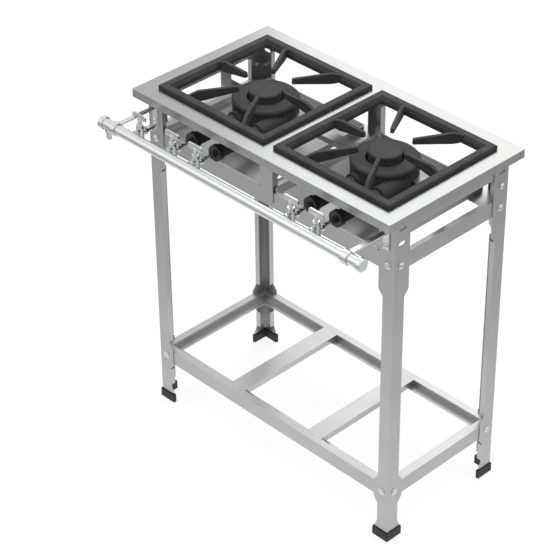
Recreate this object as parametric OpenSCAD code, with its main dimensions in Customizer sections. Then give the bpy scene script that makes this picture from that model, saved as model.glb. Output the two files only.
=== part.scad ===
// Two-burner stock pot range: an open sheet-steel stand with a polished top plate,
// two lift-off cast grates, two double-ring cast burners and a gas pipe with five cocks.
// Millimetres. +Z is up, the gas pipe is on the -Y side, and Z = 0 is the floor.
// Body coordinates have the middle of the top plate over their origin, and
// set_back() moves them so that the whole range stands centred on the origin.

/* [Top plate] */
// Height of the top plate's upper face over the floor
work_h = 780; // [700:5:900]
// How far the plate stands out beyond the legs at each side
plate_side = 12; // [6:1:30]
// How far the plate stands out beyond the legs at the front and rear
plate_front = 30; // [24:1:44]
// Height of the skirt round the top plate
skirt_h = 18; // [14:1:24]
// Thickness of the sheet in the plate, rails and shelf
sheet_t = 1.5; // [1.2:0.1:2]
// How far the plate reaches inside a grate's frame
plate_reach = 2.5; // [1.5:0.5:4]
// Corner radius of the openings in the plate
opening_r = 6; // [3:1:12]

/* [Stand] */
// Width over the outer faces of the legs
stand_w = 676; // [672:2:740]
// Depth over the outer faces of the legs
stand_d = 314; // [306:2:370]
// Thickness of the leg and post sheet
leg_t = 2; // [1.5:0.5:3]
// Width of a corner post's flange
post_w = 40; // [36:1:42]
// Depth of the turned edges of a corner post
post_lip = 8; // [5:1:10]
// Width of the upright between the front windows
mullion_w = 35; // [30:1:38]
// Depth of the turned edges of that upright
mullion_lip = 12; // [8:1:14]
// How far that upright stops over the lower rails' lower edge
mullion_up = 12; // [8:1:20]
// How far the lower rails' top face is below the plate's
lower_drop = 94; // [88:1:100]
// Height of a lower rail
lower_h = 35; // [31:1:40]
// Width of the front lower rail's flat top
lower_flat = 31; // [27:1:33]
// Width of the flat top of the lower rails at the sides and rear
lower_side_flat = 10.5; // [10.5:0.5:16]
// Depth of the plate on the rear lower rail, on which the trays end
tray_shelf = 64; // [50:1:80]
// Height of the upper rails at the front and rear
upper_h = 26; // [22:1:28]
// Width of their flat tops
upper_flat = 20; // [14:1:20]
// Height of the upper rails at the sides
upper_side_h = 43.5; // [38:0.5:48]
// Width of their flat tops
upper_side_flat = 40; // [30:1:40]
// Width of the tie under the middle of the frame
tie_w = 28; // [22:1:30]
// Height of that tie
tie_h = 18; // [12:1:24]

/* [Legs] */
// Width of a leg's flange where it is bolted
head_w = 40; // [36:1:42]
// Width of a leg's flange along the shaft
shaft_w = 28.5; // [26:0.5:31]
// Depth of the turned edges of a leg
leg_lip = 12; // [8:1:14]
// How far a leg's top is below the lower rails' top
leg_top_drop = 6; // [5:1:8]
// Height of a leg's wide head
head_h = 74; // [66:1:86]
// Height of the taper between wide and narrow flange
taper_h = 18; // [12:1:24]
// Width of a leg's flange at its foot
toe_w = 34.5; // [32:0.5:36]
// Height of the black foot
foot_h = 20; // [16:1:26]
// Length of a foot's arm
foot_w = 41; // [39:1:45]
// Wall of a foot beside the leg
foot_wall = 2.5; // [2:0.5:4]
// Rubber under the leg's end
foot_floor = 4; // [3:1:6]

/* [Shelf] */
// Height of the shelf frame's top over the floor
shelf_z = 137; // [120:1:180]
// Height of a shelf rail's outer face
shelf_h = 33; // [30:1:36]
// Width of a shelf rail's flat top
shelf_flat = 16; // [12:1:20]
// Drop from the flat top to the ledge
ledge_drop = 14; // [10:1:18]
// Width of the ledge
ledge_w = 16; // [10:1:20]
// Width of a cross member
cross_w = 40; // [30:1:50]
// Distance between the cross members' inner edges
cross_gap = 187; // [150:1:220]

/* [Grates] */
// Side of the square grate
grate_s = 300; // [290:2:304]
// Gap between the two grates
grate_gap = 26; // [20:1:36]
// Width of the grate's frame bar
bar_w = 16.5; // [14:0.5:20]
// Height of the grate's frame bar
bar_h = 8.5; // [7:0.5:12]
// Thickness of a finger
finger_t = 7; // [5:0.5:9]
// Radius at which the fingers end
tip_r = 54; // [46:1:60]
// How far the fingers stand over the frame bar
finger_rise = 6.5; // [4:0.5:10]
// Height of a finger's tip
tip_h = 11; // [8:0.5:13]
// How far a finger's root hangs below the plate
root_drop = 8; // [5:1:12]

/* [Burners] */
// Outer radius of the outer ring
ring_r = 67; // [62:1:72]
// How far the outer ring's top is below the plate's
ring_drop = 16; // [12:1:20]
// Height of the outer ring with its cap
ring_h = 52; // [48:1:56]
// Radius of the inner burner
crown_r = 34; // [31:1:36]
// Open gap between inner burner and outer ring
crown_gap = 3; // [2:0.5:4]
// How far the inner burner's top is above the outer ring's
crown_rise = 16; // [12:1:18]
// Wall of the castings
cast_t = 4; // [3:0.5:5]
// Number of flame ports in the outer ring
ring_ports = 40; // [24:2:48]
// Number of flame ports in the inner burner
crown_ports = 20; // [12:2:24]
// Width of a flame port
port_w = 2; // [1.5:0.5:3]
// Outer radius of a mixer tube
tube_r = 13.5; // [12:0.5:15]
// Wall of a mixer tube
tube_t = 2.5; // [2:0.5:3]
// Offset of the inner burner's tube from the burner's centre
inner_dx = -13; // [-15:1:-11]
// Offset of the outer ring's tube from the burner's centre
outer_dx = 53; // [50:1:55]
// Width of the bar that carries the burners
rest_w = 27; // [20:1:28]
// How far that bar's middle is behind the burners' centre
rest_y = 18.5; // [17.5:0.5:26]
// Thickness of that bar
rest_t = 3; // [2:0.5:4]
// How far that bar's top is below the plate's
rest_drop = 45; // [43:1:50]
// Height of that bar's turned-down front edge
rest_lip = 12; // [8:1:16]
// Free space between that bar and the notches in the burners
rest_play = 1.5; // [1:0.5:3]

/* [Drip trays] */
// Height of the trays' turned-up edges
tray_h = 12; // [8:1:16]
// Height of the trays' front edge
tray_front_h = 5; // [3:1:8]
// Sheet thickness of the trays
tray_t = 1.2; // [0.8:0.2:1.6]
// Free space on each side of a tray
tray_gap = 1.5; // [1:0.5:3]
// Free space behind a tray
tray_back = 16; // [10:1:30]
// Corner radius of a tray
tray_r = 8; // [4:1:12]

/* [Gas line] */
// Distance of the gas pipe's axis in front of the legs
pipe_off = 105; // [99:1:113]
// How far the gas pipe's axis is below the plate's top
pipe_drop = 47; // [45:1:50]
// Outer radius of the gas pipe
pipe_r = 10.65; // [10:0.05:11]
// Wall of the gas pipe
pipe_t = 2.65; // [2:0.05:3]
// How far the gas pipe with its caps stands out beyond the legs at each side
pipe_over = 20; // [20:1:32]
// Radius of the pipe's end caps
cap_r = 13.5; // [12.5:0.5:15]
// Length of an end cap
cap_len = 12; // [10:1:14]
// Distance of a bracket's middle from the leg's side
bracket_x = 21; // [19:1:23]
// Width of a bracket's ring and foot
bracket_w = 15; // [12:1:16]
// Width of a bracket's arm
arm_w = 11; // [9:1:14]
// How far the arm's upper face is over the pipe's axis
arm_rise = 8; // [5:1:9]
// Thickness of a bracket
bracket_t = 3; // [2.5:0.5:4]
// How far a bracket's foot reaches below the pipe's axis
tab_drop = 33; // [28:1:38]
// Distance of its screw from the foot's lower end
tab_screw = 9; // [7:1:12]
// Radius of the two hose nozzles
nozzle_r = 6; // [5:0.5:6.5]
// Length of the spare outlet's hose nozzle
spare_len = 26; // [20:1:32]
// Distance of the gas inlet from the pipe's left end
inlet_x = 20; // [19:1:22]
// How far the gas inlet reaches below the pipe's axis
inlet_len = 33; // [28:1:38]

/* [Gas cocks] */
// Distance of a cock's axis behind the pipe's
cock_off = 24; // [23:1:27]
// Radius of a cock's body
cock_r = 8; // [7.5:0.5:9]
// Height of a cock's body
cock_h = 32; // [28:1:36]
// Radius of the plug in a cock
plug_r = 5; // [4:0.5:5.5]
// Distance of the spare outlet's cock from the left leg's side
spare_x = 67; // [62:1:88]
// Length of a cock's handle
handle_len = 38; // [30:1:42]
// Height of a cock's handle
handle_h = 12; // [9:1:14]
// Thickness of a cock's handle
handle_t = 3.2; // [2.5:0.1:4]
// Height of the handle's middle over the pipe's axis
handle_z = 36; // [34:1:40]
// Outer radius of an air shutter
shutter_r = 17; // [16.5:0.5:19]
// Length of an air shutter's drum
shutter_len = 12; // [10:1:14]
// Length of the hub in front of an air shutter
nose_len = 8; // [6:1:9]
// Distance of the shutters' front face in front of the legs
shutter_y = 33; // [31:1:35]

/* [Fasteners] */
// Radius of the bolts' shanks
bolt_r = 4; // [3:0.5:4]
// Radius of the bolts' heads
bolt_head_r = 6.5; // [6:0.5:8]
// Height of the bolts' heads
bolt_head_h = 5; // [4:0.5:6]
// Radius of the brackets' screws
screw_r = 3; // [2.5:0.5:4]
// Radius of the heads of those screws
screw_head_r = 5.5; // [5:0.5:7]
// Height of the heads of those screws
screw_head_h = 4; // [3:0.5:5]
// Distance of a bolt from the corner
bolt_in = 18; // [16:1:20]
// Length of a post's slot
slot_len = 18; // [14:1:22]
// Radius of a post's slot
slot_r = 4; // [3.5:0.5:5]
// Distance of a slot's middle from the corner
slot_in = 19; // [18:1:20]
// Distance of the upper slots below the plate's top
upper_slot_drop = 34; // [33:1:36]
// Distance of the lower slots and of the rear posts' bolts below the plate's top
slot_drop = 66; // [62:1:70]

/* [Clearances] */
// Gap under and beside pieces that lift or slide
seat_gap = 0.3; // [0.2:0.1:0.5]
// Radial gap of a piece that turns on or in another
turn_gap = 0.05; // [0.02:0.01:0.09]
// Radial gap of a piece fixed in or round another
fix_gap = 0.1; // [0.05:0.05:0.2]
// Radial gap of a bolt in its hole
bolt_gap = 0.3; // [0.2:0.1:0.5]

/* [Hidden] */
$fn = 48;

STEEL = "#c9cccb";
POLISHED = "#dfe2e2";
IRON = "#454545";
BLACK = "#1c1c1c";
CHROME = "#e6e8ea";

// Derived heights
plate_under = work_h - sheet_t;
upper_top = plate_under;
upper_low = upper_top - upper_h;
upper_side_low = upper_top - upper_side_h;
lower_top = work_h - lower_drop;
lower_low = lower_top - lower_h;
leg_top = lower_top - leg_top_drop;
leg_bolt_z = (leg_top + lower_low) / 2;
shelf_low = shelf_z - shelf_h;
shelf_bolt_z = (shelf_z + shelf_low) / 2;
node_over = 3;
node_low = shelf_low - node_over;
node_top = shelf_z + node_over;
head_low = leg_top - head_h;
toe_over = 4;
toe_top = foot_h + toe_over;
slot_z = work_h - slot_drop;
upper_slot_z = work_h - upper_slot_drop;
pipe_z = work_h - pipe_drop;
tab_low = pipe_z - tab_drop;
screw_z = tab_low + tab_screw;
ring_top = work_h - ring_drop;
ring_low = ring_top - ring_h;
crown_top = ring_top + crown_rise;
rest_top = work_h - rest_drop;
floor_top = rest_top + cast_t;
tray_z = lower_top + seat_gap;
grate_z = work_h + seat_gap;

// Derived plan sizes
plate_w = stand_w + 2 * plate_side;
plate_d = stand_d + 2 * plate_front;
rail_w = stand_w - 2 * leg_t;
rail_d = stand_d - 2 * leg_t;
node_w = head_w - 1;
front_y = -stand_d / 2;
grate_x = (grate_gap + grate_s) / 2;
opening_s = grate_s - 2 * bar_w - 2 * plate_reach;
window_in = mullion_w / 2;
window_out = stand_w / 2 - post_w;
pipe_len = stand_w + 2 * pipe_over;
pipe_y = front_y - pipe_off;
inlet_mid = inlet_x - pipe_len / 2;
inlet_stub_r = nozzle_r - 0.5;
bracket_mid = stand_w / 2 - bracket_x;
ring_out = pipe_r + fix_gap + bracket_t;
body_y = (max(cap_r, ring_out) - pipe_y - plate_d / 2) / 2;
cock_y = pipe_y + cock_off;
drum_y = front_y - shutter_y;
drum_face_t = 2;
ring_bore = crown_r + crown_gap;
cap_ring_h = 8;
socket_out = 9;
socket_y = -ring_r - socket_out;
bore_end = -10;
tube_front = drum_y + drum_face_t;
tube_xs = [for (b = [-1, 1], dx = [inner_dx, outer_dx]) b * grate_x + dx];
cock_xs = concat([spare_x - stand_w / 2], tube_xs);

// Thickness of an end cap's end, and the radii of a cock's tail and of the gas way in a nozzle
cap_end = 4;
tail_r = 6.5;
way_r = 1.6;

// Length of a cut through a flange or a pipe's wall
cut_len = 20;

// Steps in the curve of a leg's shoulder
shoulder_steps = 6;

// Moves body coordinates so that the range's box is centred on the origin
module set_back() translate([0, body_y, 0]) children();

// Shows its children as they are, or mirrored to the other side
module to_left(on) {
  if (on) mirror([1, 0, 0]) children();
  else children();
}

module to_front(on) {
  if (on) mirror([0, 1, 0]) children();
  else children();
}

// A piece drawn at the rear right corner, put at the corner on sides sx and sy
module at_corner(sx, sy) to_left(sx < 0) to_front(sy < 0) children();

module all_corners() for (sx = [-1, 1], sy = [-1, 1]) at_corner(sx, sy) children();

module rounded_rect(w, d, r) {
  square([w - 2 * r, d], center = true);
  square([w, d - 2 * r], center = true);
  for (x = [-1, 1], y = [-1, 1]) translate([x * (w / 2 - r), y * (d / 2 - r)]) circle(r);
}

// A straight rail on the +Y side with mitred ends. Its child is the section: X is the
// distance in from the outer face, Y is the height.
module mitred_rail(half_len, outer) {
  reach = min(half_len, outer) - 1;
  intersection() {
    translate([-half_len, outer, 0]) rotate([90, 0, 90])
      linear_extrude(2 * half_len) mirror([1, 0]) children();
    linear_extrude(2 * work_h)
      polygon([[-half_len, outer], [half_len, outer],
        [half_len - reach, outer - reach], [-half_len + reach, outer - reach]]);
  }
}

module rear_rail(w, d) mitred_rail(w / 2, d / 2) children();

module front_rail(w, d) mirror([0, 1, 0]) rear_rail(w, d) children();

module right_rail(w, d) rotate([0, 0, -90]) mitred_rail(d / 2, w / 2) children();

module left_rail(w, d) mirror([1, 0, 0]) right_rail(w, d) children();

module four_rails(w, d) {
  rear_rail(w, d) children();
  front_rail(w, d) children();
  right_rail(w, d) children();
  left_rail(w, d) children();
}

// A horizontal slot through a flange that faces Y, centred on its place
module slot_cut() {
  rotate([90, 0, 0]) translate([0, 0, -cut_len / 2]) linear_extrude(cut_len) {
    square([slot_len - 2 * slot_r, 2 * slot_r], center = true);
    for (s = [-1, 1]) translate([s * (slot_len / 2 - slot_r), 0]) circle(slot_r);
  }
}

// The flanges of the rear right corner: the child is drawn for the flange that faces Y,
// with the corner as origin
module rear_flange() translate([stand_w / 2, stand_d / 2, 0]) children();

module side_flange() translate([stand_w / 2, stand_d / 2, 0]) mirror([1, -1, 0]) children();

module both_flanges() {
  rear_flange() children();
  side_flange() children();
}

// A round hole through a flange, at the distance x_in from the corner
module flange_hole(x_in, z, r) translate([-x_in, 0, z]) rotate([90, 0, 0])
  cylinder(h = cut_len, r = r, center = true);

// The bolt holes of all four corners at one height
module corner_bolt_holes(z) all_corners() both_flanges() flange_hole(bolt_in, z, bolt_r + bolt_gap);

// Top plate

module top_plate() set_back() color(POLISHED) difference() {
  translate([-plate_w / 2, -plate_d / 2, work_h - skirt_h]) cube([plate_w, plate_d, skirt_h]);
  translate([-plate_w / 2 + sheet_t, -plate_d / 2 + sheet_t, work_h - skirt_h - 1])
    cube([plate_w - 2 * sheet_t, plate_d - 2 * sheet_t, skirt_h - sheet_t + 1]);
  for (s = [-1, 1]) translate([s * grate_x, 0, work_h - 10])
    linear_extrude(20) rounded_rect(opening_s, opening_s, opening_r);
}

// Frame

// An angle under the plate: its wall is h high and its flat top is flat wide
module upper_section(h, flat) {
  translate([0, upper_top - h]) square([sheet_t, h]);
  translate([0, upper_top - sheet_t]) square([flat, sheet_t]);
}

// The side rails are higher and wider, as the bar under the burners hangs from them
module upper_rails() set_back() color(STEEL) {
  rear_rail(rail_w, rail_d) upper_section(upper_h, upper_flat);
  front_rail(rail_w, rail_d) upper_section(upper_h, upper_flat);
  right_rail(rail_w, rail_d) upper_section(upper_side_h, upper_side_flat);
  left_rail(rail_w, rail_d) upper_section(upper_side_h, upper_side_flat);
}

module lower_section(flat) {
  translate([0, lower_low]) square([sheet_t, lower_h]);
  translate([0, lower_top - sheet_t]) square([flat, sheet_t]);
}

module lower_rail_front() set_back() color(STEEL) difference() {
  front_rail(rail_w, rail_d) lower_section(lower_flat);
  corner_bolt_holes(leg_bolt_z);
}

// The rear rail, with the plate between the side rails on which the trays' rear ends slide
module lower_rail_rear() set_back() color(STEEL) difference() {
  shelf_x = rail_w / 2 - lower_side_flat;
  union() {
    rear_rail(rail_w, rail_d) lower_section(lower_side_flat);
    translate([-shelf_x, rail_d / 2 - tray_shelf, lower_top - sheet_t])
      cube([2 * shelf_x, tray_shelf - sheet_t, sheet_t]);
  }
  corner_bolt_holes(leg_bolt_z);
}

module lower_rail_left() set_back() color(STEEL) difference() {
  left_rail(rail_w, rail_d) lower_section(lower_side_flat);
  corner_bolt_holes(leg_bolt_z);
}

module lower_rail_right() set_back() color(STEEL) difference() {
  right_rail(rail_w, rail_d) lower_section(lower_side_flat);
  corner_bolt_holes(leg_bolt_z);
}

// One flange of a corner post with its turned edge, which stops under an upper rail
module post_flange(lip_top) {
  flange_low = leg_top + seat_gap;
  translate([-post_w, -leg_t, flange_low]) cube([post_w, leg_t, plate_under - flange_low]);
  translate([-post_w, -leg_t - post_lip, lower_top + seat_gap])
    cube([leg_t, post_lip + leg_t, lip_top - lower_top - 2 * seat_gap]);
}

module flange_slot(z) translate([-slot_in, 0, z]) slot_cut();

// Every flange has an upper slot. Below it a front post has a slot at its side and the hole
// for the bracket's screw in front, and a rear post has bolts.
module corner_post(sx, sy) set_back() color(STEEL) at_corner(sx, sy) difference() {
  union() {
    rear_flange() post_flange(upper_low);
    side_flange() post_flange(upper_side_low);
  }
  both_flanges() flange_slot(upper_slot_z);
  if (sy < 0) {
    side_flange() flange_slot(slot_z);
    rear_flange() flange_hole(bracket_x, screw_z, screw_r + bolt_gap);
  }
  else both_flanges() flange_hole(bolt_in, slot_z, bolt_r + bolt_gap);
}

// The upright between the two windows, drawn for the rear
module mullion() translate([0, stand_d / 2, 0]) {
  mullion_low = lower_low + mullion_up;
  translate([-window_in, -leg_t, mullion_low]) cube([mullion_w, leg_t, plate_under - mullion_low]);
  for (s = [-1, 1]) translate([s * (window_in - leg_t / 2), -leg_t - mullion_lip / 2, 0])
    translate([-leg_t / 2, -mullion_lip / 2, lower_top + seat_gap])
      cube([leg_t, mullion_lip + leg_t, upper_low - lower_top - 2 * seat_gap]);
}

module mullions() set_back() color(STEEL) for (front = [false, true]) to_front(front) mullion();

module frame_tie() set_back() color(STEEL) {
  tie_top = lower_top - sheet_t;
  tie_len = rail_d - 2 * sheet_t;
  difference() {
    translate([-tie_w / 2, -tie_len / 2, tie_top - tie_h]) cube([tie_w, tie_len, tie_h]);
    translate([-tie_w / 2 + sheet_t, -tie_len / 2 - 1, tie_top - tie_h - 1])
      cube([tie_w - 2 * sheet_t, tie_len + 2, tie_h - sheet_t + 1]);
  }
}

// The bar under the burners: its front edge is turned down, and its ends are turned up and
// hang from the flats of the upper side rails
module burner_rest() set_back() color(STEEL) translate([0, rest_y - rest_w / 2, 0]) {
  flat_edge = 1;
  end_x = rail_w / 2 - upper_side_flat + flat_edge + rest_t;
  low = rest_top - rest_t;
  translate([-end_x, 0, low]) cube([2 * end_x, rest_w, rest_t]);
  translate([-end_x, 0, rest_top - rest_lip]) cube([2 * end_x, rest_t, rest_lip]);
  for (s = [-1, 1]) translate([s * (end_x - rest_t / 2) - rest_t / 2, 0, low])
    cube([rest_t, rest_w, upper_top - sheet_t - low]);
}

// Drip trays

module drip_tray(left) set_back() color(POLISHED) to_left(left) {
  x0 = window_in + tray_gap;
  tray_w = window_out - tray_gap - x0;
  tray_d = rail_d - tray_back;
  translate([x0 + tray_w / 2, -tray_back / 2, tray_z]) difference() {
    linear_extrude(tray_h) rounded_rect(tray_w, tray_d, tray_r);
    translate([0, 0, tray_t]) linear_extrude(tray_h)
      rounded_rect(tray_w - 2 * tray_t, tray_d - 2 * tray_t, tray_r - tray_t);
    translate([-tray_w / 2 - 1, -tray_d / 2 - 1, tray_front_h]) cube([tray_w + 2, tray_t + 1, tray_h]);
  }
}

// Grates

module bar_section() {
  edge = 1.5;
  translate([0, grate_z]) polygon([[0, 0], [bar_w, 0], [bar_w, bar_h - edge], [bar_w - edge, bar_h],
    [edge, bar_h], [0, bar_h - edge]]);
}

// A finger along +X that joins a frame bar at the distance reach from the centre and
// hangs down behind the plate's edge up to the distance root
module finger(reach, root) {
  top = bar_h + finger_rise;
  rotate([90, 0, 0]) translate([0, grate_z, -finger_t / 2]) linear_extrude(finger_t)
    polygon([[tip_r, top - tip_h - 1], [tip_r + 1, top - 2], [tip_r + 3, top - 1], [reach - 18, top],
      [reach + 2, bar_h - 1], [reach + 2, 0.5], [root, 0.5], [root, -root_drop],
      [root - 14, -root_drop]]);
}

module grate(left) set_back() color(IRON) to_left(left) translate([grate_x, 0, 0]) {
  inner = grate_s / 2 - bar_w;
  hang = opening_s / 2 - 1.5;
  four_rails(grate_s, grate_s) bar_section();
  for (a = [0, 180]) rotate([0, 0, a]) finger(inner, hang);
  for (a = [60, 120, 240, 300]) rotate([0, 0, a])
    finger(inner / sin(60), (hang - finger_t / 2 * cos(60)) / sin(60));
}

// Burners

// The ring's channel: its floor stands on the bar, and its outer wall hangs down as a skirt
module ring_chamber() rotate_extrude() {
  cap_low = ring_top - cap_ring_h;
  edge = 1.5;
  translate([ring_bore, rest_top]) square([cast_t, cap_low - rest_top]);
  translate([ring_bore, rest_top]) square([ring_r - cast_t / 2 - ring_bore, cast_t]);
  polygon([[ring_r - cast_t, ring_low], [ring_r - edge, ring_low], [ring_r, ring_low + edge],
    [ring_r, cap_low], [ring_r - cast_t, cap_low]]);
}

// A solid round a burner's axis that trims the sockets of its tubes
module trim_column(z, r) translate([0, 0, z]) cylinder(h = ring_h, r = r);

// A tube or bore along Y at the pipe's height, from y0 to y1
module along_y(x, y0, y1, r) translate([x, y0, pipe_z]) rotate([-90, 0, 0]) cylinder(h = y1 - y0, r = r);

// The socket of a tube, up to the hole for the inner burner
module tube_socket(dx) difference() {
  along_y(dx, socket_y, bore_end + cast_t, tube_r + cast_t);
  trim_column(ring_low - cast_t, ring_bore);
}

// The outer ring: its own tube opens into the channel, and the other one crosses it
module ring_burner(side) set_back() color(IRON) translate([side * grate_x, 0, 0]) difference() {
  union() {
    ring_chamber();
    tube_socket(inner_dx);
    difference() {
      tube_socket(outer_dx);
      trim_column(floor_top, ring_r - cast_t);
    }
  }
  along_y(inner_dx, socket_y - 1, 0, tube_r + fix_gap);
  along_y(outer_dx, socket_y - 1, bore_end, tube_r + fix_gap);
  for (i = [0 : ring_ports - 1]) rotate([0, 0, (i + 0.5) * 360 / ring_ports])
    translate([ring_r - cast_t - 1, -port_w / 2, ring_top - cap_ring_h - 5]) cube([cast_t + 2, port_w, 6]);
  translate([-ring_r - 1, rest_y - rest_w / 2 - rest_play, ring_low - 1])
    cube([2 * ring_r + 2, rest_w + 2 * rest_play, rest_top - ring_low + 1]);
}

module ring_cap(side) set_back() color(IRON) translate([side * grate_x, 0, 0]) rotate_extrude() {
  low = ring_top - cap_ring_h;
  polygon([[ring_bore, low], [ring_r + 1, low], [ring_r + 1, ring_top - 3], [ring_r - 2, ring_top],
    [ring_bore + 1, ring_top], [ring_bore, ring_top - 1]]);
}

// The front part of an inner burner between its deep bottom and its floor, up to y_end
module deep_half(z0, r, y_end) intersection() {
  translate([0, 0, z0]) cylinder(h = floor_top - z0, r = r);
  translate([-crown_r, -crown_r, z0]) cube([2 * crown_r, crown_r + y_end, ring_h]);
}

// A cup that stands on the bar, with a deeper front half for the mouth of its tube
module inner_burner(side) set_back() color(IRON) translate([side * grate_x, 0, 0]) difference() {
  cup_r = crown_r - 1;
  cup_top = crown_top - 6;
  union() {
    translate([0, 0, rest_top]) cylinder(h = cup_top - rest_top, r = cup_r);
    deep_half(ring_low, cup_r, cast_t / 2);
  }
  translate([0, 0, floor_top]) cylinder(h = cup_top - rest_top, r = cup_r - cast_t);
  deep_half(ring_low + cast_t, cup_r - cast_t, -cast_t / 2);
  along_y(inner_dx, -crown_r - 1, bore_end, tube_r + fix_gap);
  for (i = [0 : crown_ports - 1]) rotate([0, 0, (i + 0.5) * 360 / crown_ports])
    translate([crown_r - cast_t - 2, -port_w / 2, cup_top - 4]) cube([cast_t + 3, port_w, 5]);
}

module inner_cap(side) set_back() color(IRON) translate([side * grate_x, 0, crown_top]) rotate_extrude()
  polygon([[0, -6], [crown_r, -6], [crown_r, -2], [crown_r - 2, 0], [0, 0]]);

// Mixer tube number i: its front end is in the air shutter, its rear end in the burner
module mixer_tube(i) set_back() color(IRON) {
  x = tube_xs[i];
  inner = i % 2 == 0;
  end_y = inner ? -sqrt(pow(crown_r - 1, 2) - pow(abs(inner_dx) + tube_r, 2)) - 1 : -ring_r + 14;
  difference() {
    along_y(x, tube_front, end_y, tube_r);
    along_y(x, tube_front - 1, end_y + 1, tube_r - tube_t);
  }
}

// Air shutter: a drum that turns on the tube's mouth, with a hub round the cock's nozzle
module air_shutter(i) set_back() color(BLACK) translate([tube_xs[i], drum_y, pipe_z]) {
  bore = tube_r + turn_gap;
  hub_in = 4.5;
  hub_out = 7;
  face = drum_face_t - seat_gap;
  edge = 1.5;
  rotate([-90, 0, 0]) rotate_extrude()
    polygon([[hub_in, -nose_len], [hub_out, -nose_len], [hub_out, 0], [shutter_r - edge, 0],
      [shutter_r, edge], [shutter_r, shutter_len], [bore, shutter_len], [bore, face],
      [hub_in, face]]);
}

// Gas line

module along_x(x0, x1, r) translate([x0, pipe_y, pipe_z]) rotate([0, 90, 0]) cylinder(h = x1 - x0, r = r);

module gas_pipe() set_back() color(CHROME) {
  half = pipe_len / 2 - cap_end;
  difference() {
    along_x(-half, half, pipe_r);
    along_x(-half - 1, half + 1, pipe_r - pipe_t);
    for (x = cock_xs) along_y(x, pipe_y, pipe_y + cut_len, tail_r + fix_gap);
    translate([inlet_mid, pipe_y, pipe_z - cut_len]) cylinder(h = cut_len, r = inlet_stub_r + fix_gap);
  }
}

module pipe_caps() set_back() color(CHROME) for (left = [false, true]) to_left(left) difference() {
  translate([pipe_len / 2 - cap_len, pipe_y, pipe_z]) rotate([0, 90, 0]) rotate_extrude()
    polygon([[0, 0], [cap_r - 1, 0], [cap_r, 1], [cap_r, cap_len - 2], [cap_r - 2, cap_len], [0, cap_len]]);
  along_x(pipe_len / 2 - cap_len - 1, pipe_len / 2 - cap_end + fix_gap, pipe_r + fix_gap);
}

// A hose nozzle: a plain neck with two ribs and a tapered end
module hose_nozzle(len) rotate_extrude() {
  neck = len - 9;
  polygon([[way_r, 0], [nozzle_r, 0], [nozzle_r, neck], [nozzle_r - 1, neck + 0.5],
    [nozzle_r - 1, neck + 2], [nozzle_r, neck + 2.5], [nozzle_r - 1, neck + 5],
    [nozzle_r - 0.2, neck + 5.5], [nozzle_r - 2, len], [way_r, len]]);
}

module gas_inlet() set_back() color(CHROME) translate([inlet_mid, pipe_y, pipe_z]) rotate([180, 0, 0])
  difference() {
    union() {
      translate([0, 0, pipe_r - 1.5]) cylinder(h = 6, r = inlet_stub_r);
      translate([0, 0, pipe_r + 0.4]) rotate([0, 0, 30]) cylinder(h = 4, r = 8.5, $fn = 6);
      translate([0, 0, pipe_r + 3]) hose_nozzle(inlet_len - pipe_r - 3);
    }
    translate([0, 0, pipe_r - 3]) cylinder(h = 14, r = way_r);
  }

// A bracket: foot on the corner post, arm, and ring round the pipe
module pipe_bracket(left) set_back() color(STEEL) to_left(left) translate([bracket_mid, 0, 0]) {
  arm_top = pipe_z + arm_rise;
  arm_y = pipe_y + pipe_r - 2;
  difference() {
    union() {
      translate([-bracket_w / 2, 0, 0]) along_x(0, bracket_w, ring_out);
      translate([-arm_w / 2, arm_y, arm_top - bracket_t]) cube([arm_w, front_y - arm_y, bracket_t]);
      translate([-bracket_w / 2, front_y - bracket_t, tab_low])
        cube([bracket_w, bracket_t, arm_top - tab_low]);
    }
    translate([-bracket_w / 2 - 1, 0, 0]) along_x(0, bracket_w + 2, pipe_r + fix_gap);
    translate([0, front_y, 0]) flange_hole(0, screw_z, screw_r + bolt_gap);
  }
}

// Gas cock number i: body on the pipe, with a nozzle into the shutter, or a hose nozzle
// on the spare outlet
module gas_cock(i) set_back() color(CHROME) translate([cock_xs[i], cock_y, pipe_z]) {
  neck = 15;
  nozzle_end = drum_y - nose_len + 2 - cock_y;
  difference() {
    union() {
      translate([0, 0, -cock_h / 2]) rotate_extrude()
        polygon([[0, 0], [cock_r - 2, 0], [cock_r, 2], [cock_r, cock_h - 4], [cock_r - 1, cock_h],
          [0, cock_h]]);
      rotate([90, 0, 0]) cylinder(h = cock_off - pipe_r + 2, r = tail_r);
      translate([0, -cock_off + pipe_r + 0.5, 0]) rotate([-90, 0, 0]) cylinder(h = 4, r = 9, $fn = 6);
      rotate([-90, 0, 0]) cylinder(h = 16, r = 6);
      translate([0, 10, 0]) rotate([-90, 0, 0]) cylinder(h = 6, r = 8, $fn = 6);
      if (i == 0) translate([0, neck, 0]) rotate([-90, 0, 0]) hose_nozzle(spare_len);
      else rotate([-90, 0, 0]) rotate_extrude()
        polygon([[0, neck], [5.5, neck], [5, neck + 6], [3.2, neck + 14], [3.2, nozzle_end],
          [0, nozzle_end]]);
    }
    translate([0, 0, -cock_h / 2 + 3]) cylinder(h = cock_h, r = plug_r + turn_gap);
    translate([0, -cock_off + pipe_r - 3, 0]) rotate([-90, 0, 0]) cylinder(h = cock_off, r = 3);
    rotate([-90, 0, 0]) cylinder(h = 80, r = way_r);
  }
}

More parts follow.
